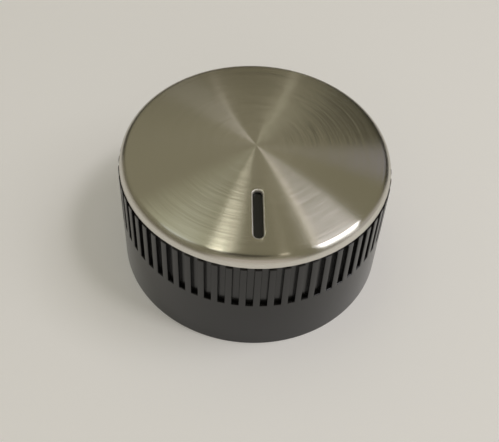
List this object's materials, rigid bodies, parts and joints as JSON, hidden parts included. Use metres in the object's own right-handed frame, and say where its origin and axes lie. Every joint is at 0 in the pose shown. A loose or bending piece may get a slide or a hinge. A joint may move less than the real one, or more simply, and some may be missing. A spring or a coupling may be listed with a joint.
{
  "type": "control knob",
  "caption": "Round push-on control knob: black moulded body with a plain skirt and a fluted grip, and a domed spun-brushed aluminium cap with a slotted pointer.",
  "frame": {"origin": "middle of the base, on the plane that the skirt stands on", "axes": "+Z along the shaft axis, out of the panel; the pointer lies towards -Y"},
  "size_m": [0.039, 0.039, 0.0202],
  "materials": {
    "black_abs": "moulded, satin",
    "brushed_aluminium": "spun brushed, clear lacquered",
    "spring_steel": "rolled strip"
  },
  "bodies": {
    "root": {"knob_body": "black_abs", "metal_cap": "brushed_aluminium", "shaft_spring": "spring_steel"}
  },
  "joints": []
}
